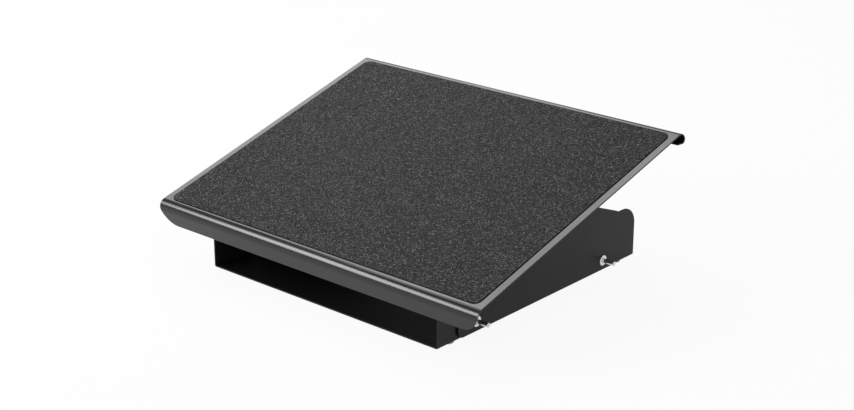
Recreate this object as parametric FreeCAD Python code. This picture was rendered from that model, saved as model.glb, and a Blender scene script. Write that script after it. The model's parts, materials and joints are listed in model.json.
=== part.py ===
import FreeCAD, Part
import math
import os

# Steel footrest: a tilting tread on two side plates that clamp to an open floor tray.
# Millimetres. X runs along the width, Y from front to rear and Z up. The origin is on the
# floor, under the centre of the whole footrest as it stands with the tread at its rest tilt.

Vector = FreeCAD.Vector

# Tread deck, one folded sheet
deck_width = 450.0
deck_depth = 350.0
deck_sheet = 1.5
front_bend_radius = 10.0
apron_depth = 24.8
apron_corner_radius = 25.0
curl_radius = 8.6
curl_return_radius = 4.4
curl_return_turn = 110.0
curl_leg = 9.0

# Grip mat on the deck
mat_thickness = 1.2
mat_side_inset = 8.6
mat_front_inset = 12.0
mat_rear_inset = 11.8
mat_corner_radius = 8.0

# Tilt axis, measured from the deck's front face along the slope and down from its top skin
pivot_from_front = 185.2
pivot_below_top = 15.0
rest_tilt = 15.9

# Floor tray, one sheet folded to a channel that is open in front and behind
base_width = 320.0
base_depth = 327.4
base_wall_height = 58.8
base_sheet = 1.5
base_bend_radius = 2.0
base_corner_radius = 21.0

# Feet under the tray
foot_diameter = 14.0
foot_height = 2.0
foot_side_inset = 9.0
foot_end_inset = 24.0

# Side plates outside the tray's walls
plate_sheet = 2.0
plate_gap = 0.2
plate_length = 266.0
plate_front_inset = 28.0
plate_bottom_gap = 1.4
plate_slope = 21.4
plate_corner_radius = 8.0
plate_shoulder_radius = 3.0
plate_apex_radius = 12.1
pivot_height = 100.0

# Height clamps: a square-necked bolt and a round nut near each lower corner of the plates
height_travel = 36.0
height_bolt_spacing = 211.0
height_bolt_height = 12.5
height_bolt_diameter = 5.0
height_bolt_projection = 15.8
height_head_diameter = 12.0
height_head_rim = 0.8
height_head_height = 2.4
height_head_flat = 6.0
height_nut_diameter = 11.6
height_nut_length = 1.4

# Tilt pivots: a square-necked bolt, friction washers and a lock nut at the top of each plate
pivot_bolt_diameter = 8.0
pivot_head_diameter = 18.0
pivot_head_rim = 1.2
pivot_head_height = 4.4
pivot_head_flat = 9.0
pivot_bolt_spare = 2.0
friction_washer_diameter = 19.0
friction_washer_sheet = 1.0
steel_washer_diameter = 17.0
steel_washer_sheet = 1.6
lock_nut_flats = 13.0
lock_nut_hex = 6.0
lock_nut_collar = 2.0
lock_nut_collar_diameter = 11.5

# Tilt brackets under the deck
bracket_sheet = 2.5
bracket_bend_radius = 4.0
bracket_length = 120.0
bracket_flange = 34.0
bracket_eye_radius = 12.0
bracket_end_radius = 6.0

# Welded studs and flange nuts that hold the brackets
stud_diameter = 5.0
stud_length = 12.0
stud_spacing = 80.0
stud_from_edge = 13.0
stud_nut_flats = 8.0
stud_nut_hex = 3.8
stud_nut_flange = 1.0
stud_nut_flange_diameter = 11.6

# Fits
running_fit = 0.05
face_gap = 0.05
bolt_clearance = 0.2
slot_clearance = 0.15
cut_overrun = 4.0

# Places that follow from the sizes above
tilt = math.radians(rest_tilt)
front_reach = (
    (pivot_from_front - front_bend_radius) * math.cos(tilt)
    + (pivot_below_top - front_bend_radius) * math.sin(tilt)
    + front_bend_radius
)
rear_reach = base_depth - plate_front_inset - plate_length / 2
pivot_y = (front_reach - rear_reach) / 2
tray_front_y = pivot_y - plate_length / 2 - plate_front_inset
pivot_z = foot_height + pivot_height
base_half = base_width / 2
wall_inner_x = base_half - base_sheet
plate_inner_x = base_half + plate_gap
plate_outer_x = plate_inner_x + plate_sheet
bracket_outer_x = plate_inner_x - friction_washer_sheet - face_gap
bracket_inner_x = bracket_outer_x - bracket_sheet
deck_under = pivot_below_top - deck_sheet
height_bolt_ys = (pivot_y - height_bolt_spacing / 2, pivot_y + height_bolt_spacing / 2)
height_bolt_z = foot_height + height_bolt_height
height_neck = height_bolt_diameter


def place_in(plane, a, b):
    """Point of a section that is drawn in the YZ plane or in the XZ plane."""
    if plane == "YZ":
        return Vector(0, a, b)
    return Vector(a, 0, b)


def folded_section(plane, start, heading, steps, sheet):
    """Face of a folded sheet. The steps follow its outer skin, and each bend turns clockwise,
    towards the inner skin. A step is ("run", length) or ("bend", outer radius, degrees)."""
    a, b = start
    angle = math.radians(heading)
    outer = []
    inner = []

    def skin(centre_a, centre_b, radius, turned):
        return place_in(plane, centre_a - radius * math.sin(turned), centre_b + radius * math.cos(turned))

    for step in steps:
        if step[0] == "run":
            end_a = a + step[1] * math.cos(angle)
            end_b = b + step[1] * math.sin(angle)
            depth_a = sheet * math.sin(angle)
            depth_b = -sheet * math.cos(angle)
            outer.append(Part.LineSegment(place_in(plane, a, b), place_in(plane, end_a, end_b)))
            inner.append(Part.LineSegment(
                place_in(plane, a + depth_a, b + depth_b),
                place_in(plane, end_a + depth_a, end_b + depth_b)))
            a, b = end_a, end_b
            continue
        radius = step[1]
        turn = math.radians(step[2])
        centre_a = a + radius * math.sin(angle)
        centre_b = b - radius * math.cos(angle)
        stations = [angle, angle - turn / 2, angle - turn]
        outer.append(Part.Arc(*[skin(centre_a, centre_b, radius, at) for at in stations]))
        inner.append(Part.Arc(*[skin(centre_a, centre_b, radius - sheet, at) for at in stations]))
        angle -= turn
        a = centre_a - radius * math.sin(angle)
        b = centre_b + radius * math.cos(angle)

    far_cap = Part.LineSegment(outer[-1].EndPoint, inner[-1].EndPoint)
    near_cap = Part.LineSegment(inner[0].StartPoint, outer[0].StartPoint)
    curves = outer + [far_cap] + inner[::-1] + [near_cap]
    return Part.Face(Part.Wire([curve.toShape() for curve in curves]))


def rounded_face(corners):
    """Flat face through (point, radius) corners, each rounded by an arc tangent to both sides."""
    arcs = []
    for index, (corner, radius) in enumerate(corners):
        back = (corners[index - 1][0] - corner).normalize()
        ahead = (corners[(index + 1) % len(corners)][0] - corner).normalize()
        half_angle = back.getAngle(ahead) / 2
        reach = radius / math.tan(half_angle)
        inset = radius / math.sin(half_angle) - radius
        middle = corner + (back + ahead).normalize() * inset
        arcs.append((corner + back * reach, middle, corner + ahead * reach))
    edges = []
    for index, (start, middle, end) in enumerate(arcs):
        if start != end:
            edges.append(Part.Arc(start, middle, end).toShape())
        edges.append(Part.LineSegment(end, arcs[(index + 1) % len(arcs)][0]).toShape())
    return Part.Face(Part.Wire(edges))


def cylinder_x(diameter, low_x, high_x, y, z):
    """Round bar along X."""
    return Part.makeCylinder(diameter / 2, high_x - low_x, Vector(low_x, y, z), Vector(1, 0, 0))


def bar_x(side, low_x, high_x, y, z):
    """Square bar along X."""
    corner = Vector(low_x, y - side / 2, z - side / 2)
    return Part.makeBox(high_x - low_x, side, side, corner)


def ring_x(diameter, bore, low_x, high_x, y, z):
    """Flat ring or plain washer round an axis along X."""
    return cylinder_x(diameter, low_x, high_x, y, z).cut(cylinder_x(bore, low_x, high_x, y, z))


def turned_x(profile, y, z):
    """Solid turned about an axis along X, from (x, radius) points that start and end on the axis."""
    points = [Vector(x, y, z + radius) for x, radius in profile]
    face = Part.Face(Part.makePolygon(points + points[:1]))
    return face.revolve(Vector(0, y, z), Vector(1, 0, 0), 360)


def round_head(radius, rim, flat_radius, seat_x, top_x, y, z):
    """Round bolt head from seat_x to top_x, with an upright rim and a sloping crown."""
    rim_x = seat_x + math.copysign(rim, top_x - seat_x)
    return turned_x([(seat_x, 0), (seat_x, radius), (rim_x, radius), (top_x, flat_radius), (top_x, 0)], y, z)


def hexagon(flats, height, centre, axis, spin):
    """Hexagonal prism along axis, with one pair of flats square to spin."""
    reach = flats / 2 / math.cos(math.pi / 6)
    side = spin.cross(axis)
    points = []
    for index in range(6):
        angle = math.pi / 6 + index * math.pi / 3
        points.append(centre + spin * (reach * math.cos(angle)) + side * (reach * math.sin(angle)))
    return Part.Face(Part.makePolygon(points + points[:1])).extrude(axis * height)


def one_solid(first, *others):
    """The pieces fused to one solid, without the seams between them."""
    whole = first
    for other in others:
        whole = whole.fuse(other)
    return whole.removeSplitter()


def mirrored(shape):
    """The same piece on the left side."""
    return shape.mirror(Vector(0, 0, 0), Vector(1, 0, 0))


def tilted(shape):
    """Move a piece from the deck's own frame, whose origin is on the tilt axis, to the rest pose."""
    moved = shape.copy()
    moved.rotate(Vector(0, 0, 0), Vector(1, 0, 0), rest_tilt)
    moved.translate(Vector(0, pivot_y, pivot_z))
    return moved


def apron_corner():
    """Cutter for the rounded lower corner of the apron, on the right."""
    low_z = pivot_below_top - apron_depth
    centre = Vector(deck_width / 2 - apron_corner_radius, -pivot_from_front - cut_overrun,
                    low_z + apron_corner_radius)
    length = front_bend_radius + cut_overrun
    block = Part.makeBox(apron_corner_radius + cut_overrun, length, apron_corner_radius + cut_overrun,
                         centre - Vector(0, 0, apron_corner_radius + cut_overrun))
    round_bar = Part.makeCylinder(apron_corner_radius, length, centre, Vector(0, 1, 0))
    return block.cut(round_bar)


def tread_deck():
    """Flat tread with a deep apron in front and a curled rear edge, folded from one sheet."""
    flat = deck_depth - front_bend_radius - curl_radius
    steps = [
        ("run", apron_depth - front_bend_radius),
        ("bend", front_bend_radius, 90),
        ("run", flat),
        ("bend", curl_radius, 90),
        ("bend", curl_return_radius, curl_return_turn),
        ("run", curl_leg),
    ]
    start = (-pivot_from_front, pivot_below_top - apron_depth)
    section = folded_section("YZ", start, 90, steps, deck_sheet)
    section.translate(Vector(-deck_width / 2, 0, 0))
    deck = section.extrude(Vector(deck_width, 0, 0))
    corner = apron_corner()
    return tilted(deck.cut(corner).cut(mirrored(corner)))


def tread_mat():
    """Grip mat bonded to the deck, with rounded corners."""
    half_x = deck_width / 2 - mat_side_inset
    front_y = mat_front_inset - pivot_from_front
    rear_y = deck_depth - mat_rear_inset - pivot_from_front
    corners = [
        (Vector(x, y, pivot_below_top), mat_corner_radius)
        for x, y in ((-half_x, front_y), (half_x, front_y), (half_x, rear_y), (-half_x, rear_y))
    ]
    return tilted(rounded_face(corners).extrude(Vector(0, 0, mat_thickness)))


def bracket_outline():
    """Side view of a bracket: full length along the deck, narrowing to a round eye at the tilt axis."""
    half = bracket_length / 2
    shoulder_z = deck_under - bracket_bend_radius
    corners = [
        (Vector(0, -half, deck_under), 0),
        (Vector(0, -half, shoulder_z), 0),
        (Vector(0, -bracket_eye_radius, -bracket_eye_radius), bracket_end_radius),
        (Vector(0, bracket_eye_radius, -bracket_eye_radius), bracket_end_radius),
        (Vector(0, half, shoulder_z), 0),
        (Vector(0, half, deck_under), 0),
    ]
    face = rounded_face(corners)
    face.translate(Vector(bracket_outer_x - bracket_flange, 0, 0))
    return face.extrude(Vector(bracket_flange, 0, 0))


def stud_places():
    """Stud centres on the right bracket's flange, in the deck's own frame."""
    x = bracket_outer_x - bracket_flange + stud_from_edge
    return [Vector(x, y, deck_under) for y in (-stud_spacing / 2, stud_spacing / 2)]


def tilt_bracket():
    """Folded bracket under the deck, on the right: a flange with stud holes and an eye plate."""
    steps = [
        ("run", bracket_flange - bracket_bend_radius),
        ("bend", bracket_bend_radius, 90),
        ("run", deck_under + bracket_eye_radius - bracket_bend_radius),
    ]
    start = (bracket_outer_x - bracket_flange, deck_under)
    section = folded_section("XZ", start, 0, steps, bracket_sheet)
    section.translate(Vector(0, -bracket_length / 2, 0))
    bracket = section.extrude(Vector(0, bracket_length, 0)).common(bracket_outline())
    eye = cylinder_x(pivot_bolt_diameter + 2 * running_fit, bracket_inner_x - cut_overrun,
                     bracket_outer_x + cut_overrun, 0, 0)
    bracket = bracket.cut(eye)
    for place in stud_places():
        hole = Part.makeCylinder(stud_diameter / 2 + bolt_clearance, bracket_sheet + cut_overrun,
                                 place, Vector(0, 0, -1))
        bracket = bracket.cut(hole)
    return bracket


def bracket_studs():
    """Studs welded to the deck's underside, for the right bracket."""
    return [Part.makeCylinder(stud_diameter / 2, stud_length, place, Vector(0, 0, -1))
            for place in stud_places()]


def bracket_nuts():
    """Flange nuts on the studs, for the right bracket."""
    down = Vector(0, 0, -1)
    nuts = []
    for place in stud_places():
        seat = place + down * bracket_sheet
        flange = Part.makeCylinder(stud_nut_flange_diameter / 2, stud_nut_flange, seat, down)
        body = hexagon(stud_nut_flats, stud_nut_hex + stud_nut_flange, seat, down, Vector(1, 0, 0))
        bore = Part.makeCylinder(stud_diameter / 2 + running_fit, stud_nut_hex + stud_nut_flange, seat, down)
        nuts.append(one_solid(flange, body).cut(bore))
    return nuts


def base_tray():
    """Floor tray: floor and two walls from one sheet, with round wall corners and height slots."""
    wall_run = base_wall_height - base_bend_radius
    steps = [
        ("run", wall_run),
        ("bend", base_bend_radius, 90),
        ("run", base_width - 2 * base_bend_radius),
        ("bend", base_bend_radius, 90),
        ("run", wall_run),
    ]
    start = (base_half, foot_height + base_wall_height)
    section = folded_section("XZ", start, -90, steps, base_sheet)
    section.translate(Vector(0, tray_front_y, 0))
    tray = section.extrude(Vector(0, base_depth, 0))

    top_z = foot_height + base_wall_height
    low_z = foot_height - cut_overrun
    side = rounded_face([
        (Vector(-base_half, tray_front_y, low_z), 0),
        (Vector(-base_half, tray_front_y + base_depth, low_z), 0),
        (Vector(-base_half, tray_front_y + base_depth, top_z), base_corner_radius),
        (Vector(-base_half, tray_front_y, top_z), base_corner_radius),
    ])
    tray = tray.common(side.extrude(Vector(base_width, 0, 0)))
    for y in height_bolt_ys:
        tray = tray.cut(height_slots(y))
    return tray


def height_slots(y):
    """Cutter for the pair of upright slots at one place along the tray."""
    half = height_neck / 2 + slot_clearance
    low_corner = Vector(-base_half - cut_overrun, y - half, height_bolt_z - half)
    width = base_width + 2 * cut_overrun
    return Part.makeBox(width, 2 * half, height_travel + 2 * half, low_corner)


def foot(x, y):
    """Round foot pad bonded under the tray."""
    return Part.makeCylinder(foot_diameter / 2, foot_height, Vector(x, y, 0))


def side_plate():
    """Right side plate: a low rectangle with two slopes that meet in a round top at the tilt axis."""
    slope = math.radians(plate_slope)
    crown = plate_apex_radius / math.cos(slope)
    low_z = foot_height + plate_bottom_gap
    half = plate_length / 2
    corners = [
        (Vector(0, -half, low_z - pivot_z), plate_corner_radius),
        (Vector(0, half, low_z - pivot_z), plate_corner_radius),
        (Vector(0, half, crown - half * math.tan(slope)), plate_shoulder_radius),
        (Vector(0, 0, crown), plate_apex_radius),
        (Vector(0, -half, crown - half * math.tan(slope)), plate_shoulder_radius),
    ]
    face = rounded_face(corners)
    face.translate(Vector(plate_inner_x, pivot_y, pivot_z))
    plate = face.extrude(Vector(plate_sheet, 0, 0))
    low_x = plate_inner_x - cut_overrun
    high_x = plate_outer_x + cut_overrun
    for y in height_bolt_ys:
        plate = plate.cut(cylinder_x(height_bolt_diameter + 2 * bolt_clearance, low_x, high_x, y, height_bolt_z))
    return plate.cut(bar_x(pivot_bolt_diameter + 2 * bolt_clearance, low_x, high_x, pivot_y, pivot_z))


def height_bolt(y):
    """Bolt from inside the tray: round head, square neck in the slot and a long plain end outside."""
    seat_x = wall_inner_x - face_gap
    head = round_head(height_head_diameter / 2, height_head_rim, height_head_flat / 2,
                      seat_x, seat_x - height_head_height, y, height_bolt_z)
    neck = bar_x(height_neck, seat_x, base_half, y, height_bolt_z)
    tip_x = plate_outer_x + height_bolt_projection
    shank = cylinder_x(height_bolt_diameter, seat_x, tip_x, y, height_bolt_z)
    return one_solid(head, neck, shank)


def height_nut(y):
    """Round clamp nut against the outside of the side plate."""
    low_x = plate_outer_x + face_gap
    bore = height_bolt_diameter + 2 * running_fit
    return ring_x(height_nut_diameter, bore, low_x, low_x + height_nut_length, y, height_bolt_z)


def pivot_stack():
    """Inner faces of the washers and the nut on the right pivot, from the bracket inwards."""
    friction_x = bracket_inner_x - face_gap - friction_washer_sheet
    steel_x = friction_x - steel_washer_sheet
    nut_x = steel_x - lock_nut_hex
    return friction_x, steel_x, nut_x


def pivot_bolt():
    """Pivot bolt on the right: round head outside, square neck in the plate, shank to the lock nut."""
    head = round_head(pivot_head_diameter / 2, pivot_head_rim, pivot_head_flat / 2,
                      plate_outer_x, plate_outer_x + pivot_head_height, pivot_y, pivot_z)
    neck = bar_x(pivot_bolt_diameter, plate_inner_x, plate_outer_x, pivot_y, pivot_z)
    nut_x = pivot_stack()[2]
    tip_x = nut_x - lock_nut_collar - pivot_bolt_spare
    shank = cylinder_x(pivot_bolt_diameter, tip_x, plate_outer_x, pivot_y, pivot_z)
    return one_solid(head, neck, shank)


def pivot_lock_nut():
    """Hexagon lock nut with a round collar, on the right pivot bolt."""
    friction_x, steel_x, nut_x = pivot_stack()
    seat = Vector(steel_x, pivot_y, pivot_z)
    body = hexagon(lock_nut_flats, lock_nut_hex, seat, Vector(-1, 0, 0), Vector(0, 0, 1))
    collar = cylinder_x(lock_nut_collar_diameter, nut_x - lock_nut_collar, nut_x, pivot_y, pivot_z)
    bore = cylinder_x(pivot_bolt_diameter + 2 * running_fit, nut_x - lock_nut_collar, steel_x,
                      pivot_y, pivot_z)
    return one_solid(body, collar).cut(bore)


def pivot_ring(diameter, low_x, high_x):
    """Washer on the right pivot bolt."""
    bore = pivot_bolt_diameter + 2 * bolt_clearance
    return ring_x(diameter, bore, low_x, high_x, pivot_y, pivot_z)


def save(name, shape):
    """Write one piece, or one group of like pieces, as the node of that name."""
    shape.exportStep("parts/" + name + ".step")


def save_pair(name, right_shape):
    """Write a right-hand piece and its mirror image on the left, each as a node."""
    save(name + "_right", right_shape)
    save(name + "_left", mirrored(right_shape))


def save_group(name, right_shapes):
    """Write identical fasteners and their mirror images as one node of separate solids."""
    left_shapes = [mirrored(shape) for shape in right_shapes]
    save(name, Part.makeCompound(right_shapes + left_shapes))


def build():
    """Model every piece and write it."""
    os.makedirs("parts", exist_ok=True)

    save("base_tray", base_tray())
    foot_x = base_half - foot_side_inset
    foot_ys = (tray_front_y + foot_end_inset, tray_front_y + base_depth - foot_end_inset)
    for end, y in zip(("front", "rear"), foot_ys):
        save_pair("foot_" + end, foot(foot_x, y))

    save_pair("side_plate", side_plate())
    save_group("height_bolts", [height_bolt(y) for y in height_bolt_ys])
    for end, y in zip(("front", "rear"), height_bolt_ys):
        save_pair("height_nut_" + end, height_nut(y))

    friction_x, steel_x, nut_x = pivot_stack()
    save_group("pivot_bolts", [pivot_bolt()])
    save_group("pivot_lock_nuts", [pivot_lock_nut()])
    save_group("pivot_washers", [pivot_ring(steel_washer_diameter, steel_x, friction_x)])
    save_group("friction_washers", [
        pivot_ring(friction_washer_diameter, low_x, low_x + friction_washer_sheet)
        for low_x in (plate_inner_x - friction_washer_sheet, friction_x)])

    save("tread_deck", tread_deck())
    save("tread_mat", tread_mat())
    save_pair("tilt_bracket", tilted(tilt_bracket()))
    save_group("bracket_studs", [tilted(stud) for stud in bracket_studs()])
    save_group("bracket_nuts", [tilted(nut) for nut in bracket_nuts()])

    print("tilt axis at y %.3f, z %.3f" % (pivot_y, pivot_z))
    print("height bolts at y %.3f and %.3f, z %.3f" % (*height_bolt_ys, height_bolt_z))


build()
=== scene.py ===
import json
import math

import bmesh
import bpy
import numpy as np
from mathutils import Matrix, Quaternion, Vector


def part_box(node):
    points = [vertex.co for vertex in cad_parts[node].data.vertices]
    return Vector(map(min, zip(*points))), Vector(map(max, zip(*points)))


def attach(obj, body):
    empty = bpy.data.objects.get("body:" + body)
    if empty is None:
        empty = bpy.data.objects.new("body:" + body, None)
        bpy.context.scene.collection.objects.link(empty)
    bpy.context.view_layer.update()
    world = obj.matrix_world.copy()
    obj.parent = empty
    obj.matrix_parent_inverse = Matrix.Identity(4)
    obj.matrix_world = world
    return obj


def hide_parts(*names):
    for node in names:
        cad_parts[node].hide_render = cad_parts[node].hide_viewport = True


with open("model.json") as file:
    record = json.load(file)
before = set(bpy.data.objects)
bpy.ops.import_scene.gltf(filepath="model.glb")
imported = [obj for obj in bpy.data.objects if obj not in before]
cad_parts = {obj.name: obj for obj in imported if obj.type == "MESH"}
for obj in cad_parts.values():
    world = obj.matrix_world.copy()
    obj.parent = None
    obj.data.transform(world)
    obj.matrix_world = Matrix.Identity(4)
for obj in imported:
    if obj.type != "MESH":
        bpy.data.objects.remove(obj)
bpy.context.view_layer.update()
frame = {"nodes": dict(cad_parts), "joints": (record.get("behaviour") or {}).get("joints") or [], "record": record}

# Looks of a steel footrest: a tilting tread with a grip mat, on side plates that clamp to an
# open floor tray. Metres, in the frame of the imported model. The right-hand bolts and clamp nuts
# are drawn first, and the left-hand ones are their mirror images.

nodes = frame["nodes"]
joints = {joint["name"]: joint for joint in frame["joints"]}

mm = 0.001

# Camera, with its focal length in pixels of the photograph
photo_width = 854
focal_pixels = 1686
sensor_width = 36.0
camera_aim = Vector((0.0585, -0.0548, 0.0987))
camera_distance = 1.7271
camera_azimuth = math.radians(41.41)
camera_elevation = math.radians(20.37)

# Tread sheet, in its own frame: x across, s up the slope and n square to it, from the tilt axis
rest_tilt = math.radians(15.9)
deck_width = 450 * mm
deck_depth = 350 * mm
deck_sheet = 1.5 * mm
front_s = -185.2 * mm
deck_top = 15 * mm
front_bend_radius = 10 * mm
apron_depth = 24.8 * mm
apron_corner_radius = 25 * mm
curl_radius = 8.6 * mm
curl_return_radius = 4.4 * mm
curl_return_turn = 110
curl_leg = 9 * mm
sheet_easing = 0.25 * mm
apron_parts = 24
front_bend_parts = 28
curl_parts = 20
curl_return_parts = 16

# Grip mat
mat_thickness = 1.2 * mm
mat_side_inset = 8.6 * mm
mat_front_inset = 12 * mm
mat_rear_inset = 11.8 * mm
mat_corner_radius = 8 * mm
mat_corner_step = 6
mat_pitch = 1.8 * mm
mat_relief = 0.12 * mm
mat_grain_stand = 0.25 * mm
mat_seed = 7

# Loose mineral grains pressed into the mat. The density is grains to a square metre.
grain_density = 165000.0
grain_radius = 0.42 * mm
grain_smallest = 0.45
grain_seed = 11
grain_margin = 0.8 * mm

# Height bolts and clamp nuts
height_bolt_radius = 2.5 * mm
height_bolt_chamfer = 0.45 * mm
height_head_radius = 6 * mm
height_head_height = 2.4 * mm
height_head_rim = 0.8 * mm
height_seat_x = 158.45 * mm
height_neck_end_x = 160 * mm
height_nut_easing = 0.55 * mm
height_nut_seat_easing = 0.2 * mm
height_nut_bore_gap = 0.05 * mm
height_nut_sink_width = 0.5 * mm
height_nut_sink_depth = 0.35 * mm

# Tilt pivots
pivot_bolt_radius = 4 * mm
pivot_bolt_chamfer = 0.7 * mm
pivot_head_radius = 9 * mm
pivot_head_height = 4.4 * mm
pivot_head_rim = 0.8 * mm
pivot_neck_length = 2 * mm
pivot_end_x = 144 * mm

# Studs and flange nuts of the tilt brackets
stud_radius = 2.5 * mm
stud_length = 12 * mm
stud_plain_length = 2.6 * mm
stud_pitch = 0.8 * mm
stud_thread_depth = stud_pitch * 0.3
stud_end_length = 0.3 * mm
stud_end_cut = 0.6 * mm
stud_reach = 40 * mm
stud_x = 138.15 * mm
deck_under = 13.5 * mm
bracket_sheet = 2.5 * mm
flange_nut_flats = 8 * mm
flange_nut_height = 4.8 * mm
flange_nut_chamfer = 0.5 * mm
flange_diameter = 11.6 * mm
flange_thickness = 1 * mm
flange_sides = 32

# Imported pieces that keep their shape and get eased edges
tray_easing = 0.25 * mm
plate_easing = 0.3 * mm
lock_nut_easing = 0.4 * mm
packed_merge = 0.002 * mm
packed_flatness = math.radians(0.5)

# A face counts as looking along an axis when its normal has more than this share of it.
facing = 0.7

# Tones of the surfaces
black = (0.009, 0.0091, 0.0095, 1)
satin_black = (0.0145, 0.0146, 0.0151, 1)
# The dull black is darker than the satin black as painted shade on the tray's floor, which lies in shadow.
dull_shaded_black = (0.006, 0.006, 0.0063, 1)
grit_deep = (0.002, 0.002, 0.0022, 1)
grit_middle = (0.006, 0.0062, 0.0067, 1)
grit_pale = (0.026, 0.0267, 0.0285, 1)
grit_bright = (0.165, 0.1695, 0.18, 1)
mat_cut = (0.012, 0.012, 0.012, 1)
zinc = (0.9, 0.9, 0.89, 1)
pale_rubber = (0.62, 0.62, 0.60, 1)
nylon = (0.03, 0.03, 0.032, 1)

# Patterns in the finishes: how often they repeat in a metre, and how deep they are. The grit's
# sheen is its specular level.
coat_drift = 24
coat_smear = 60
coat_peel = 800
coat_peel_depth = 0.04 * mm
grit_sheen = 0.25
grit_cells = 980
grit_depth = 0.6 * mm
mineral_patches = 900
plating_haze = 400
plating_marks = 2500
plating_mark_depth = 0.02 * mm
moulded_haze = 120
moulded_grain = 1500
moulded_grain_depth = 0.05 * mm

# Studio. The glow is the floor's share of plain white, to the camera and in gloss.
world_light = 0.4
floor_tone = 0.8
floor_dullness = 0.9
floor_sheen = 0.1
floor_middle = 1.0
floor_radius = 4.2
floor_sides = 96
cove_radius = 0.8
cove_parts = 8
cove_height = 1.3
background_glow = 0.93
gloss_glow = 0.6

# What the lamps aim at, and the roll that lays the front ones along the tread's round front edge
tread_middle = (0, 0, 0.1)
front_bend_middle = (0, -0.16, 0.06)
base_middle = (0, 0, 0.05)
front_roll = -27

# Materials

def link(tree, source, output, target, socket):
    tree.links.new(source.outputs[output], target.inputs[socket])

def shader_node(tree, kind, **inputs):
    """A node with the given inputs set. A space in an input's name is written as an underscore."""
    made = tree.nodes.new(kind)
    for name, value in inputs.items():
        made.inputs[name.replace("_", " ")].default_value = value
    return made

def empty_finish(name):
    """A material with a plain shader, its tree and the piece's own coordinates."""
    material = bpy.data.materials.new(name)
    material.use_nodes = True
    tree = material.node_tree
    return material, tree, tree.nodes["Principled BSDF"], tree.nodes.new("ShaderNodeTexCoord")

def cloud(tree, place, scale, detail):
    """A soft cloudy pattern on the piece's own coordinates."""
    texture = shader_node(tree, "ShaderNodeTexNoise", Scale=scale, Detail=detail)
    link(tree, place, "Object", texture, "Vector")
    return texture

def spread(tree, source, output, low, high):
    """Maps a 0 to 1 pattern on to a range of values."""
    made = shader_node(tree, "ShaderNodeMapRange", To_Min=low, To_Max=high)
    link(tree, source, output, made, "Value")
    return made

def ramp(tree, source, output, *stops):
    """Maps a 0 to 1 pattern on to tones, given as (place, tone) stops."""
    made = tree.nodes.new("ShaderNodeValToRGB")
    elements = made.color_ramp.elements
    for element, (place, tone) in zip(elements, (stops[0], stops[-1])):
        element.position = place
        element.color = tone
    for place, tone in stops[1:-1]:
        elements.new(place).color = tone
    link(tree, source, output, made, "Fac")
    return made

def relief(tree, source, output, shader, strength, depth):
    """Lets a pattern stand out of the surface, in the shading alone."""
    bump = shader_node(tree, "ShaderNodeBump", Strength=strength, Distance=depth)
    link(tree, source, output, bump, "Height")
    link(tree, bump, "Normal", shader, "Normal")

def shade(tone, factor):
    """A tone made darker or brighter."""
    return tuple(channel * factor for channel in tone[:3]) + (1,)

def powder_coat(name, tone, sheen, dull_low, dull_high):
    """Powder coat: a faint orange peel, and a gloss that varies between two roughnesses."""
    material, tree, shader, place = empty_finish(name)
    shader.inputs["Specular IOR Level"].default_value = sheen
    drift = cloud(tree, place, coat_drift, 3)
    tones = ramp(tree, drift, "Fac", (0.3, shade(tone, 0.85)), (0.7, shade(tone, 1.2)))
    link(tree, tones, "Color", shader, "Base Color")
    smear = cloud(tree, place, coat_smear, 4)
    gloss = spread(tree, smear, "Fac", dull_low, dull_high)
    link(tree, gloss, "Result", shader, "Roughness")
    peel = cloud(tree, place, coat_peel, 2)
    relief(tree, peel, "Fac", shader, 0.1, coat_peel_depth)
    return material

def mat_grit():
    """Fine mineral grit in dark rubber: every grain has a tone of its own."""
    material, tree, shader, place = empty_finish("mat_grit")
    shader.inputs["Specular IOR Level"].default_value = grit_sheen
    cells = shader_node(tree, "ShaderNodeTexVoronoi", Scale=grit_cells)
    link(tree, place, "Object", cells, "Vector")
    split = tree.nodes.new("ShaderNodeSeparateColor")
    link(tree, cells, "Color", split, "Color")
    tone = ramp(tree, split, "Red", (0.0, grit_deep), (0.5, grit_middle), (0.82, grit_pale),
                (1.0, grit_bright))
    link(tree, tone, "Color", shader, "Base Color")
    dull = spread(tree, split, "Green", 0.45, 0.85)
    link(tree, dull, "Result", shader, "Roughness")
    crown = spread(tree, cells, "Distance", 1, 0)
    relief(tree, crown, "Result", shader, 0.9, grit_depth)
    return material

def grain_mineral():
    """The loose grains: harder and brighter than the ground that they sit in."""
    material, tree, shader, place = empty_finish("mineral_grain")
    patch = cloud(tree, place, mineral_patches, 0)
    tone = ramp(tree, patch, "Fac", (0.35, grit_deep), (0.5, grit_pale), (0.7, grit_bright))
    link(tree, tone, "Color", shader, "Base Color")
    gloss = spread(tree, patch, "Fac", 0.75, 0.3)
    link(tree, gloss, "Result", shader, "Roughness")
    return material

def plated_steel():
    """Bright zinc plating with a cloudy gloss and faint turning marks."""
    material, tree, shader, place = empty_finish("bright_zinc")
    shader.inputs["Metallic"].default_value = 1
    haze = cloud(tree, place, plating_haze, 3)
    tone = ramp(tree, haze, "Fac", (0.35, shade(zinc, 0.88)), (0.7, zinc))
    link(tree, tone, "Color", shader, "Base Color")
    gloss = spread(tree, haze, "Fac", 0.16, 0.3)
    link(tree, gloss, "Result", shader, "Roughness")
    marks = cloud(tree, place, plating_marks, 1)
    relief(tree, marks, "Fac", shader, 0.08, plating_mark_depth)
    return material

def moulded(name, tone, dull_low, dull_high):
    """Matt moulded rubber or nylon with a fine grain, between two roughnesses."""
    material, tree, shader, place = empty_finish(name)
    haze = cloud(tree, place, moulded_haze, 3)
    tones = ramp(tree, haze, "Fac", (0.3, shade(tone, 0.85)), (0.7, shade(tone, 1.1)))
    link(tree, tones, "Color", shader, "Base Color")
    dull = spread(tree, haze, "Fac", dull_low, dull_high)
    link(tree, dull, "Result", shader, "Roughness")
    grain = cloud(tree, place, moulded_grain, 2)
    relief(tree, grain, "Fac", shader, 0.2, moulded_grain_depth)
    return material

# Mesh helpers

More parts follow.
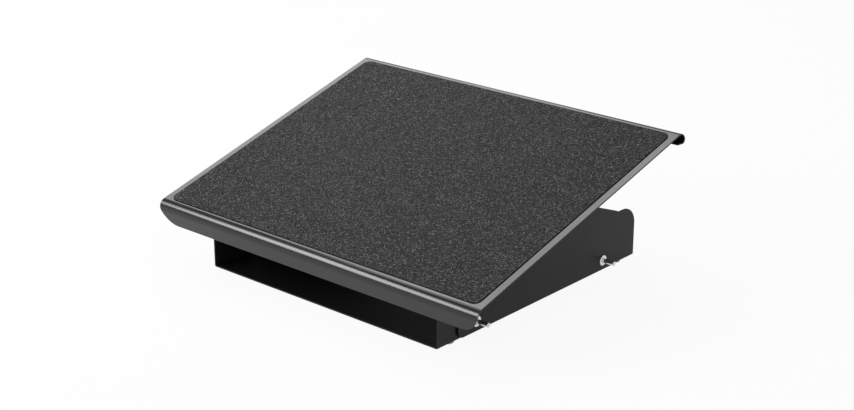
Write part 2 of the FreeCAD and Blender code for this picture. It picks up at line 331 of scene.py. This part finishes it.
def new_piece(name, verts, faces):
    """A piece from its points and faces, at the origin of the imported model's frame."""
    mesh = bpy.data.meshes.new(name)
    mesh.from_pydata([tuple(v) for v in verts], [], faces)
    piece = bpy.data.objects.new(name, mesh)
    bpy.context.scene.collection.objects.link(piece)
    return piece

def plain_mesh(piece):
    """Applies the piece's modifiers and leaves a plain mesh."""
    evaluated = piece.evaluated_get(bpy.context.evaluated_depsgraph_get())
    plain = bpy.data.meshes.new_from_object(evaluated)
    piece.modifiers.clear()
    piece.data = plain
    plain.name = piece.name
    return piece

def tidy_mesh(piece, merge=0.001 * mm):
    """Merges doubled points and turns every face outwards."""
    shape = bmesh.new()
    shape.from_mesh(piece.data)
    bmesh.ops.remove_doubles(shape, verts=shape.verts, dist=merge)
    bmesh.ops.recalc_face_normals(shape, faces=shape.faces)
    shape.to_mesh(piece.data)
    shape.free()
    return piece

def ease_edges(piece, width, segments=2, angle=35):
    """Rounds the sharp edges a little, and keeps the flats flat in the shading."""
    bevel = piece.modifiers.new("easing", "BEVEL")
    bevel.width = width
    bevel.segments = segments
    bevel.limit_method = "ANGLE"
    bevel.angle_limit = math.radians(angle)
    piece.data.shade_smooth()
    flats = piece.modifiers.new("flats", "WEIGHTED_NORMAL")
    flats.mode = "FACE_AREA"
    flats.weight = 100
    return plain_mesh(piece)

def smooth_but_sharp(piece, angle=32):
    """Shades a piece smooth, and leaves the edges above the angle sharp."""
    piece.data.shade_smooth()
    piece.data.set_sharp_from_angle(angle=math.radians(angle))
    return piece

def one_piece(name, *parts):
    """The parts' meshes in one piece."""
    shape = bmesh.new()
    for part in parts:
        shape.from_mesh(part.data)
        bpy.data.objects.remove(part)
    mesh = bpy.data.meshes.new(name)
    shape.to_mesh(mesh)
    shape.free()
    whole = bpy.data.objects.new(name, mesh)
    bpy.context.scene.collection.objects.link(whole)
    return whole

def mirrored(piece, name):
    """The same piece on the left side, with its faces turned outwards again."""
    twin = bpy.data.objects.new(name, piece.data.copy())
    bpy.context.scene.collection.objects.link(twin)
    twin.data.transform(Matrix.Scale(-1, 4, (1, 0, 0)))
    twin.data.flip_normals()
    return twin

def turned(name, profile, y, z, sides=32):
    """A piece turned about an axis along X, from a profile of (x, radius) points."""
    verts = []
    faces = []
    rings = []
    for x, radius in profile:
        count = 1 if radius == 0 else sides
        rings.append(range(len(verts), len(verts) + count))
        for step in range(count):
            angle = 2 * math.pi * step / sides
            verts.append((x, y + radius * math.cos(angle), z + radius * math.sin(angle)))
    for ring, following in zip(rings, rings[1:]):
        for step in range(sides):
            a, b = ring[step % len(ring)], ring[(step + 1) % len(ring)]
            c, d = following[(step + 1) % len(following)], following[step % len(following)]
            face = [a, b, c, d]
            faces.append([v for i, v in enumerate(face) if v != face[i - 1]])
    return smooth_but_sharp(tidy_mesh(new_piece(name, verts, faces)))

def square_bar(name, side, low_x, high_x, y, z):
    """A square bar along X with its edges eased."""
    half = side / 2
    verts = [(x, y + dy, z + dz) for x in (low_x, high_x)
             for dy, dz in ((-half, -half), (half, -half), (half, half), (-half, half))]
    faces = [(3, 2, 1, 0), (4, 5, 6, 7)]
    faces += [(i, (i + 1) % 4, 4 + (i + 1) % 4, 4 + i) for i in range(4)]
    return ease_edges(tidy_mesh(new_piece(name, verts, faces)), side / 20)

def rounded(centre_x, centre_radius, easing, from_angle, to_angle, parts=4):
    """Profile points along the round of an edge, from the centre of that round."""
    points = []
    for step in range(parts + 1):
        angle = math.radians(from_angle + (to_angle - from_angle) * step / parts)
        points.append((centre_x + easing * math.cos(angle), centre_radius + easing * math.sin(angle)))
    return points

def eased_copy(name, width):
    """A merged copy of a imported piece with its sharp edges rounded."""
    piece = bpy.data.objects.new(name + "_eased", nodes[name].data.copy())
    bpy.context.scene.collection.objects.link(piece)
    shape = bmesh.new()
    shape.from_mesh(piece.data)
    bmesh.ops.remove_doubles(shape, verts=shape.verts, dist=packed_merge)
    bmesh.ops.dissolve_limit(shape, angle_limit=packed_flatness, verts=shape.verts, edges=shape.edges)
    shape.to_mesh(piece.data)
    shape.free()
    piece.data.materials.clear()
    return ease_edges(piece, width)

# Tray

def floor_tray():
    """The tray, with a duller coat on its floor than on its walls; the floor's darker tone is painted shade."""
    tray = eased_copy("base_tray", tray_easing)
    tray.data.materials.append(satin_paint)
    tray.data.materials.append(dull_shaded_paint)
    for face in tray.data.polygons:
        # Faces that look up, the tray's floor, take the darker coat: painted shade, with a duller gloss.
        face.material_index = 1 if face.normal.z > facing else 0
    return tray

# Tread

def tread_matrix():
    """From the tread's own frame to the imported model's frame."""
    axis = Vector(joints["tread_tilt"]["pos_m"])
    return Matrix.Translation(axis) @ Matrix.Rotation(rest_tilt, 4, "X")

def follow_fold(start, heading, steps, sheet):
    """Outer and inner skin of a folded sheet as (s, n) points. A step is ("run", length, parts) or
    ("bend", outer radius, degrees, parts), and each bend turns clockwise."""
    s, n = start
    angle = math.radians(heading)
    outer = [(s, n)]
    inner = [(s + sheet * math.sin(angle), n - sheet * math.cos(angle))]
    for kind, size, *more in steps:
        if kind == "run":
            parts = more[0]
            for _ in range(parts):
                s += size / parts * math.cos(angle)
                n += size / parts * math.sin(angle)
                outer.append((s, n))
                inner.append((s + sheet * math.sin(angle), n - sheet * math.cos(angle)))
            continue
        turn = math.radians(more[0])
        parts = more[1]
        centre_s = s + size * math.sin(angle)
        centre_n = n - size * math.cos(angle)
        for _ in range(parts):
            angle -= turn / parts
            for skin, radius in ((outer, size), (inner, size - sheet)):
                skin.append((centre_s - radius * math.sin(angle), centre_n + radius * math.cos(angle)))
        s, n = outer[-1]
    return outer, inner

def apron_half_width(s, n):
    """Half the sheet's width at a point of its section. The apron's lower corners are round."""
    centre_n = deck_top - apron_depth + apron_corner_radius
    if s > front_s + front_bend_radius or n >= centre_n:
        return deck_width / 2
    chord = math.sqrt(max(apron_corner_radius ** 2 - (centre_n - n) ** 2, 0))
    return deck_width / 2 - apron_corner_radius + chord

def tread_sheet():
    """The tread: one sheet with a round front bend, an apron with round corners and a curled rear.
    Its cut edges at the sides are duller than its skin."""
    steps = [
        ("run", apron_depth - front_bend_radius, apron_parts),
        ("bend", front_bend_radius, 90, front_bend_parts),
        ("run", deck_depth - front_bend_radius - curl_radius, 1),
        ("bend", curl_radius, 90, curl_parts),
        ("bend", curl_return_radius, curl_return_turn, curl_return_parts),
        ("run", curl_leg, 1),
    ]
    outer, inner = follow_fold((front_s, deck_top - apron_depth), 90, steps, deck_sheet)
    verts = [(side * apron_half_width(s, n), s, n) for skin in (outer, inner)
             for s, n in skin for side in (-1, 1)]
    rows = len(outer)
    faces = []
    for row in range(rows - 1):
        a = 2 * row
        b = a + 2 * rows
        faces += [(a, a + 1, a + 3, a + 2), (b, b + 2, b + 3, b + 1)]
        faces += [(a, a + 2, b + 2, b), (a + 1, b + 1, b + 3, a + 3)]
    last = 2 * (rows - 1)
    faces.append((0, 2 * rows, 2 * rows + 1, 1))
    faces.append((last, last + 1, last + 1 + 2 * rows, last + 2 * rows))
    piece = new_piece("tread_sheet", verts, faces)
    piece.data.transform(tread_matrix())
    piece = ease_edges(tidy_mesh(piece), sheet_easing)
    piece.data.materials.append(paint)
    piece.data.materials.append(satin_paint)
    for face in piece.data.polygons:
        face.material_index = 1 if abs(face.normal.x) > facing else 0
    return piece

def mat_outline(inset=0.0, rows_between=0):
    """Rows of the mat as (distance from its front edge, half width), closer at the round corners."""
    depth = deck_depth - mat_front_inset - mat_rear_inset
    radius = mat_corner_radius
    near = [radius * (1 - math.cos(math.radians(angle))) for angle in range(0, 90, mat_corner_step)]
    middle = list(np.linspace(radius, depth - radius, rows_between + 2))
    half = deck_width / 2 - mat_side_inset
    rows = []
    for d in near + middle + [depth - d for d in reversed(near)]:
        cut = max(radius - min(d, depth - d), 0)
        wide = half - radius + math.sqrt(radius ** 2 - cut ** 2)
        rows.append((inset + d * (depth - 2 * inset) / depth, wide * (half - inset) / half))
    return rows

def grip_mat():
    """The mat's ground: a thin slab with round corners and an uneven top."""
    rows_between = round((deck_depth - mat_front_inset - mat_rear_inset) / mat_pitch)
    rows = mat_outline(rows_between=rows_between)
    columns = round((deck_width - 2 * mat_side_inset) / mat_pitch)
    draw = np.random.default_rng(mat_seed)
    across = np.linspace(-1, 1, columns + 1)
    grid = np.zeros((len(rows), columns + 1, 3))
    for index, (d, half) in enumerate(rows):
        grid[index, :, 0] = half * across
        grid[index, :, 1] = front_s + mat_front_inset + d
    grid[..., 2] = deck_top + mat_thickness - mat_grain_stand
    inside = grid[1:-1, 1:-1]
    inside[..., 2] -= mat_relief * draw.random(inside.shape[:2])

    wide_row = columns + 1
    faces = []
    for row in range(len(rows) - 1):
        for column in range(columns):
            a = row * wide_row + column
            faces.append((a, a + 1, a + 1 + wide_row, a + wide_row))
    top_faces = len(faces)
    last = (len(rows) - 1) * wide_row
    rim = list(range(wide_row))
    rim += [row * wide_row + columns for row in range(1, len(rows))]
    rim += [last + column for column in range(columns - 1, -1, -1)]
    rim += [row * wide_row for row in range(len(rows) - 2, 0, -1)]
    top = grid.reshape(-1, 3)
    first_low = len(top)
    low = top[rim]
    low[:, 2] = deck_top
    for index, corner in enumerate(rim):
        following = (index + 1) % len(rim)
        faces.append((rim[following], corner, first_low + index, first_low + following))
    faces.append(tuple(first_low + index for index in range(len(rim) - 1, -1, -1)))
    piece = new_piece("grip_mat", np.vstack([top, low]), faces)
    piece.data.transform(tread_matrix())
    piece.data.shade_flat()
    piece.data.materials.append(grit)
    piece.data.materials.append(mat_edge)
    for face in piece.data.polygons[top_faces:]:
        face.material_index = 1
    return piece

# Geometry Nodes

def start_tree(name, inputs):
    """A geometry tree with its input geometry, its named inputs and one output."""
    tree = bpy.data.node_groups.new(name, "GeometryNodeTree")
    tree.interface.new_socket("Geometry", in_out="INPUT", socket_type="NodeSocketGeometry")
    for label, kind in inputs:
        tree.interface.new_socket(label, in_out="INPUT", socket_type="NodeSocket" + kind)
    tree.interface.new_socket("Geometry", in_out="OUTPUT", socket_type="NodeSocketGeometry")
    return tree, tree.nodes.new("NodeGroupInput"), tree.nodes.new("NodeGroupOutput")

def finish_tree(tree, source, output, given, result):
    """Ends a tree with real geometry that carries the material."""
    real = tree.nodes.new("GeometryNodeRealizeInstances")
    paint_all = tree.nodes.new("GeometryNodeSetMaterial")
    link(tree, source, output, real, "Geometry")
    link(tree, real, "Geometry", paint_all, "Geometry")
    link(tree, given, "Material", paint_all, "Material")
    link(tree, paint_all, "Geometry", result, "Geometry")

def run_tree(piece, tree, values):
    """Runs a tree on a piece, with its inputs set by their sockets' identifiers."""
    modifier = piece.modifiers.new("maker", "NODES")
    modifier.node_group = tree
    for item in tree.interface.items_tree:
        if item.in_out == "INPUT" and item.name in values:
            modifier[item.identifier] = values[item.name]
    return plain_mesh(piece)

def number(tree, operation, first, second):
    """Arithmetic on two values, each a socket or a plain number."""
    made = tree.nodes.new("ShaderNodeMath")
    made.operation = operation
    for socket, value in zip(made.inputs, (first, second)):
        if isinstance(value, (int, float)):
            socket.default_value = value
        else:
            tree.links.new(value, socket)
    return made.outputs[0]

def grain_tree():
    """Scatters small eight-sided grains over a surface, each with its own turn and size."""
    tree, given, result = start_tree("pressed_grains", [
        ("Density", "Float"), ("Radius", "Float"), ("Smallest", "Float"), ("Seed", "Int"),
        ("Material", "Material")])
    scatter = tree.nodes.new("GeometryNodeDistributePointsOnFaces")
    link(tree, given, "Geometry", scatter, "Mesh")
    link(tree, given, "Density", scatter, "Density")
    link(tree, given, "Seed", scatter, "Seed")
    grain = tree.nodes.new("GeometryNodeMeshUVSphere")
    grain.inputs["Segments"].default_value = 4
    grain.inputs["Rings"].default_value = 2
    link(tree, given, "Radius", grain, "Radius")
    turn = tree.nodes.new("FunctionNodeRandomValue")
    turn.data_type = "FLOAT_VECTOR"
    turn.inputs["Max"].default_value = (2 * math.pi, 2 * math.pi, 2 * math.pi)
    link(tree, given, "Seed", turn, "Seed")
    size = tree.nodes.new("FunctionNodeRandomValue")
    size.data_type = "FLOAT"
    lowest, highest = size.inputs[2], size.inputs[3]
    highest.default_value = 1
    link(tree, given, "Seed", size, "Seed")
    tree.links.new(given.outputs["Smallest"], lowest)
    place = tree.nodes.new("GeometryNodeInstanceOnPoints")
    link(tree, scatter, "Points", place, "Points")
    link(tree, grain, "Mesh", place, "Instance")
    tree.links.new(turn.outputs[0], place.inputs["Rotation"])
    tree.links.new(size.outputs[1], place.inputs["Scale"])
    finish_tree(tree, place, "Instances", given, result)
    return tree

def pressed_grains():
    """Hard grains standing out of the mat's ground."""
    rows = mat_outline(inset=grain_margin, rows_between=1)
    sunk = deck_top + mat_thickness - grain_radius
    verts = [(side * half, front_s + mat_front_inset + d, sunk) for d, half in rows for side in (-1, 1)]
    faces = [(2 * row, 2 * row + 1, 2 * row + 3, 2 * row + 2) for row in range(len(rows) - 1)]
    piece = new_piece("mat_grains", verts, faces)
    run_tree(piece, grain_tree(), {
        "Density": grain_density, "Radius": grain_radius, "Smallest": grain_smallest,
        "Seed": grain_seed, "Material": mineral})
    piece.data.transform(tread_matrix())
    piece.data.shade_flat()
    return piece

def flange_nut_tree():
    """A flange nut on every point: a round flange, a hexagon and a chamfered end."""
    tree, given, result = start_tree("flange_nuts", [
        ("Across flats", "Float"), ("Height", "Float"), ("Chamfer", "Float"),
        ("Flange diameter", "Float"), ("Flange thickness", "Float"), ("Material", "Material")])

    def frustum(sides, radius_low, radius_high, depth, height):
        """A prism or a cut cone that starts at a height."""
        made = tree.nodes.new("GeometryNodeMeshCone")
        made.inputs["Vertices"].default_value = sides
        tree.links.new(radius_low, made.inputs["Radius Bottom"])
        tree.links.new(radius_high, made.inputs["Radius Top"])
        tree.links.new(depth, made.inputs["Depth"])
        lift = tree.nodes.new("ShaderNodeCombineXYZ")
        tree.links.new(height, lift.inputs["Z"])
        moved = tree.nodes.new("GeometryNodeTransform")
        link(tree, made, "Mesh", moved, "Geometry")
        link(tree, lift, "Vector", moved, "Translation")
        return moved.outputs["Geometry"]

    reach = number(tree, "DIVIDE", given.outputs["Across flats"], 2 * math.cos(math.pi / 6))
    chamfer = given.outputs["Chamfer"]
    prism_height = number(tree, "SUBTRACT", given.outputs["Height"], chamfer)
    flange_radius = number(tree, "DIVIDE", given.outputs["Flange diameter"], 2)
    flange_top = number(tree, "SUBTRACT", flange_radius, chamfer)
    seat = number(tree, "MULTIPLY", chamfer, 0)  # the flange and the hexagon start at height 0
    parts = [
        frustum(flange_sides, flange_radius, flange_top, given.outputs["Flange thickness"], seat),
        frustum(6, reach, reach, prism_height, seat),
        frustum(6, reach, number(tree, "SUBTRACT", reach, chamfer), chamfer, prism_height),
    ]
    join = tree.nodes.new("GeometryNodeJoinGeometry")
    for part in parts:
        tree.links.new(part, join.inputs["Geometry"])
    place = tree.nodes.new("GeometryNodeInstanceOnPoints")
    link(tree, given, "Geometry", place, "Points")
    link(tree, join, "Geometry", place, "Instance")
    place.inputs["Rotation"].default_value = (math.pi, 0, math.pi / 6)
    finish_tree(tree, place, "Instances", given, result)
    return tree

def stud_places():
    """Stud centres on the tread's underside, in the tread's own frame."""
    return [(side * stud_x, s, deck_under) for side in (-1, 1) for s in (-stud_reach, stud_reach)]

def bracket_flange_nuts():
    """The four nuts under the tilt brackets."""
    seats = [(x, s, n - bracket_sheet) for x, s, n in stud_places()]
    piece = run_tree(new_piece("bracket_flange_nuts", seats, []), flange_nut_tree(), {
        "Across flats": flange_nut_flats, "Height": flange_nut_height, "Chamfer": flange_nut_chamfer,
        "Flange diameter": flange_diameter, "Flange thickness": flange_thickness, "Material": plating})
    piece.data.transform(tread_matrix())
    return piece

# Turned and threaded parts

def threaded_stud(name, place):
    """A stud with its thread cut as rings, hanging from the tread's underside."""
    root = stud_radius - stud_thread_depth
    profile = [(0, 0), (0, stud_radius)]
    x = stud_plain_length
    while x < stud_length - stud_pitch:
        profile += [(x, stud_radius), (x + stud_pitch / 2, root)]
        x += stud_pitch
    profile += [(stud_length - stud_end_length, root), (stud_length, stud_radius - stud_end_cut),
                (stud_length, 0)]
    stud = turned(name, profile, 0, 0, sides=16)
    stud.data.transform(Matrix.Rotation(math.pi / 2, 4, "Y"))
    stud.data.transform(Matrix.Translation(place))
    return stud

def bracket_studs():
    """The four threaded studs under the tread."""
    studs = [threaded_stud("stud_%d" % index, place) for index, place in enumerate(stud_places())]
    piece = one_piece("bracket_studs_threaded", *studs)
    piece.data.transform(tread_matrix())
    return piece

def dome(seat_x, top_x, radius, rim, parts=8):
    """Profile of a round bolt head, from its seat over its rim to its top."""
    away = math.copysign(1, top_x - seat_x)
    rim_x = seat_x + away * rim
    profile = [(seat_x, radius)]
    for step in range(parts):
        angle = math.pi / 2 * step / parts
        crown = abs(top_x - rim_x) * math.sin(angle)
        profile.append((rim_x + away * crown, radius * math.cos(angle)))
    return profile + [(top_x, 0)]

def clamp_place(end):
    """A clamp's place along the tray and the height of its axis."""
    return joints["height_nut_%s_right_turn" % end]["pos_m"][1:]

def height_bolt(end):
    """A height bolt on the right: domed head, square neck and a long plain end with a chamfer."""
    y, z = clamp_place(end)
    tip_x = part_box("height_bolts")[1][0]
    head = dome(height_seat_x, height_seat_x - height_head_height, height_head_radius, height_head_rim)
    radius = height_bolt_radius
    cut = height_bolt_chamfer
    shank = [(height_seat_x, radius), (tip_x - cut, radius), (tip_x - cut / 4, radius - cut * 0.75),
             (tip_x, radius - cut * 1.3), (tip_x, 0)]
    round_part = turned("shank_" + end, head[::-1] + shank, y, z)
    neck = square_bar("neck_" + end, 2 * radius, height_seat_x, height_neck_end_x, y, z)
    return one_piece("height_bolt_" + end, round_part, neck)

def height_bolts():
    """The four height bolts."""
    right = one_piece("right_bolts", height_bolt("front"), height_bolt("rear"))
    return one_piece("height_bolts_turned", right, mirrored(right, "left_bolts"))

def height_nut(end):
    """A round clamp nut on the right, with a rounded rim and a small countersink at its bore."""
    low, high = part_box("height_nut_%s_right" % end)
    y, z = clamp_place(end)
    radius = (high[2] - low[2]) / 2
    easing = height_nut_easing
    bore = height_bolt_radius + height_nut_bore_gap
    profile = [(low[0], bore), (low[0], radius - height_nut_seat_easing),
               (low[0] + height_nut_seat_easing, radius)]
    profile += rounded(high[0] - easing, radius - easing, easing, 90, 0)
    profile += [(high[0], bore + height_nut_sink_width), (high[0] - height_nut_sink_depth, bore),
                (low[0], bore)]
    return turned("height_nut_%s_right_turned" % end, profile, y, z, sides=48)

def pivot_bolt():
    """The right pivot bolt: a domed head outside, a square neck and a plain shank to the lock nut."""
    y, z = joints["tread_tilt"]["pos_m"][1:]
    top_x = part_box("pivot_bolts")[1][0]
    seat_x = top_x - pivot_head_height
    cut = pivot_bolt_chamfer
    end_x = pivot_end_x
    profile = [(end_x, 0), (end_x, pivot_bolt_radius - cut), (end_x + cut, pivot_bolt_radius),
               (seat_x, pivot_bolt_radius)]
    profile += dome(seat_x, top_x, pivot_head_radius, pivot_head_rim, parts=10)
    round_part = turned("shank", profile, y, z, sides=48)
    neck = square_bar("neck", 2 * pivot_bolt_radius, seat_x - pivot_neck_length, seat_x, y, z)
    return one_piece("pivot_bolt", round_part, neck)

# Finishes

paint = powder_coat("black_powder_coat", black, sheen=0.5, dull_low=0.11, dull_high=0.2)
satin_paint = powder_coat("satin_powder_coat", satin_black, sheen=0.2, dull_low=0.2, dull_high=0.32)
# Its darker tone is painted shade for the tray's floor; its higher roughness is the real finish.
dull_shaded_paint = powder_coat("dull_shaded_powder_coat", dull_shaded_black, sheen=0.1, dull_low=0.45, dull_high=0.6)
grit = mat_grit()
mineral = grain_mineral()
mat_edge = moulded("mat_cut_edge", mat_cut, dull_low=0.8, dull_high=0.95)
plating = plated_steel()
foot_rubber = moulded("pale_rubber", pale_rubber, dull_low=0.55, dull_high=0.75)
washer_nylon = moulded("black_nylon", nylon, dull_low=0.4, dull_high=0.55)

slot_finish = {
    "black_paint": paint,
    "grip_mat": grit,
    "foot_rubber": foot_rubber,
    "bright_plating": plating,
    "friction_plastic": washer_nylon,
}
for row in frame["record"]["subparts"]:
    carried = nodes[row["node"]]
    carried.data.materials.clear()
    carried.data.materials.append(slot_finish[row["material_slot"]])

# Assembly

def put(piece, body, slot, *replaced, finish=None):
    """Hangs a piece on its body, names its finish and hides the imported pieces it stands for."""
    if not piece.data.materials:
        piece.data.materials.append(finish or slot_finish[slot])
    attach(piece, body)
    if replaced:
        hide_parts(*replaced)

put(tread_sheet(), "tread", "black_paint", "tread_deck")
put(grip_mat(), "tread", "grip_mat", "tread_mat")
put(pressed_grains(), "tread", "grip_mat")
put(bracket_flange_nuts(), "tread", "bright_plating", "bracket_nuts")
put(bracket_studs(), "tread", "bright_plating", "bracket_studs")

put(floor_tray(), "base", "black_paint", "base_tray")
for side in ("left", "right"):
    for body, name in (("carrier", "side_plate_" + side), ("tread", "tilt_bracket_" + side)):
        put(eased_copy(name, plate_easing), body, "black_paint", name, finish=satin_paint)

put(height_bolts(), "carrier", "bright_plating", "height_bolts")
for end in ("front", "rear"):
    nut = height_nut(end)
    nut_name = "height_nut_%s_" % end
    put(mirrored(nut, nut_name + "left_turned"), nut_name + "left", "bright_plating", nut_name + "left")
    put(nut, nut_name + "right", "bright_plating", nut_name + "right")

pivot = pivot_bolt()
pivots = one_piece("pivot_bolts_turned", mirrored(pivot, "left_pivot"), pivot)
put(pivots, "carrier", "bright_plating", "pivot_bolts")
put(eased_copy("pivot_lock_nuts", lock_nut_easing), "carrier", "bright_plating", "pivot_lock_nuts")

# Studio

def area_light(name, place, aim, width, height, radiance, roll=0):
    """A soft box of an even radiance, turned about its own axis by the roll in degrees."""
    data = bpy.data.lights.new(name, "AREA")
    data.shape = "RECTANGLE"
    data.size = width
    data.size_y = height
    data.energy = radiance * math.pi * width * height
    lamp = bpy.data.objects.new(name, data)
    bpy.context.scene.collection.objects.link(lamp)
    lamp.location = place
    lamp.rotation_mode = "QUATERNION"
    towards = (Vector(aim) - Vector(place)).to_track_quat("-Z", "Y")
    lamp.rotation_quaternion = towards @ Quaternion((0, 0, 1), math.radians(roll))

def studio_world():
    """An even, soft light from all round."""
    world = bpy.data.worlds.new("studio")
    bpy.context.scene.world = world
    world.use_nodes = True
    background = world.node_tree.nodes["Background"]
    background.inputs["Color"].default_value = (1, 1, 1, 1)
    background.inputs["Strength"].default_value = world_light

def pale_floor():
    """A round floor whose rim curves up to a low backdrop. It is nearly white to the camera and partly
    so in gloss, and it keeps the object's shadow."""
    profile = [(0.0, 0.0), (floor_middle, 0.0), (floor_radius, 0.0)]
    for step in range(1, cove_parts + 1):
        angle = math.pi / 2 * step / cove_parts
        rim_radius = floor_radius + cove_radius * math.sin(angle)
        profile.append((rim_radius, cove_radius * (1 - math.cos(angle))))
    profile.append((floor_radius + cove_radius, cove_height))
    sides = floor_sides
    verts = [(0, 0, 0)]
    for radius, height in profile[1:]:
        for step in range(sides):
            angle = 2 * math.pi * step / sides
            verts.append((radius * math.cos(angle), radius * math.sin(angle), height))
    faces = [(0, 1 + step, 1 + (step + 1) % sides) for step in range(sides)]
    for ring in range(len(profile) - 2):
        low = 1 + ring * sides
        for step in range(sides):
            following = (step + 1) % sides
            faces.append((low + step, low + sides + step, low + sides + following, low + following))
    floor = new_piece("floor", verts, faces)
    floor.data.shade_smooth()

    material = bpy.data.materials.new("pale_floor")
    material.use_nodes = True
    tree = material.node_tree
    shader = tree.nodes["Principled BSDF"]
    shader.inputs["Base Color"].default_value = (floor_tone, floor_tone, floor_tone, 1)
    shader.inputs["Roughness"].default_value = floor_dullness
    shader.inputs["Specular IOR Level"].default_value = floor_sheen
    glow = shader_node(tree, "ShaderNodeEmission", Color=(1, 1, 1, 1), Strength=1.0)
    rays = tree.nodes.new("ShaderNodeLightPath")
    seen = number(tree, "MULTIPLY", rays.outputs["Is Camera Ray"], background_glow)
    mirrored_ray = number(tree, "MAXIMUM", rays.outputs["Is Glossy Ray"],
                          rays.outputs["Is Transmission Ray"])
    in_gloss = number(tree, "MULTIPLY", mirrored_ray, gloss_glow)
    share = number(tree, "MAXIMUM", seen, in_gloss)
    mix = tree.nodes.new("ShaderNodeMixShader")
    tree.links.new(share, mix.inputs[0])
    tree.links.new(shader.outputs["BSDF"], mix.inputs[1])
    tree.links.new(glow.outputs["Emission"], mix.inputs[2])
    tree.links.new(mix.outputs["Shader"], tree.nodes["Material Output"].inputs["Surface"])
    floor.data.materials.append(material)

def photo_camera():
    """The camera at the photograph's place, aimed with the photograph's focal length."""
    data = bpy.data.cameras.new("camera")
    data.sensor_width = sensor_width
    data.lens = focal_pixels / photo_width * sensor_width
    camera = bpy.data.objects.new("camera", data)
    bpy.context.scene.collection.objects.link(camera)
    back = Vector((
        math.sin(camera_azimuth) * math.cos(camera_elevation),
        -math.cos(camera_azimuth) * math.cos(camera_elevation),
        math.sin(camera_elevation)))
    camera.location = camera_aim + back * camera_distance
    camera.rotation_mode = "QUATERNION"
    camera.rotation_quaternion = (-back).to_track_quat("-Z", "Y")
    bpy.context.scene.camera = camera

bpy.context.scene.view_settings.view_transform = "Standard"
studio_world()
pale_floor()
photo_camera()
area_light("rear_left_box", (-1.42, 0.98, 1.66), tread_middle, width=1.28, height=1.2, radiance=3.0)
area_light("front_left_box", (-1.25, -1.62, 0.98), front_bend_middle, width=1.2, height=0.68,
           radiance=9.5, roll=front_roll)
area_light("side_left_box", (-1.92, -1.23, 1.58), front_bend_middle, width=0.7, height=0.62,
           radiance=5, roll=front_roll)
area_light("top_left_box", (-0.75, 0.1, 1.75), tread_middle, width=1.0, height=1.0, radiance=2.2)
area_light("front_right_box", (1.6, -1.2, 1.6), base_middle, width=1.5, height=1.5, radiance=0.8)
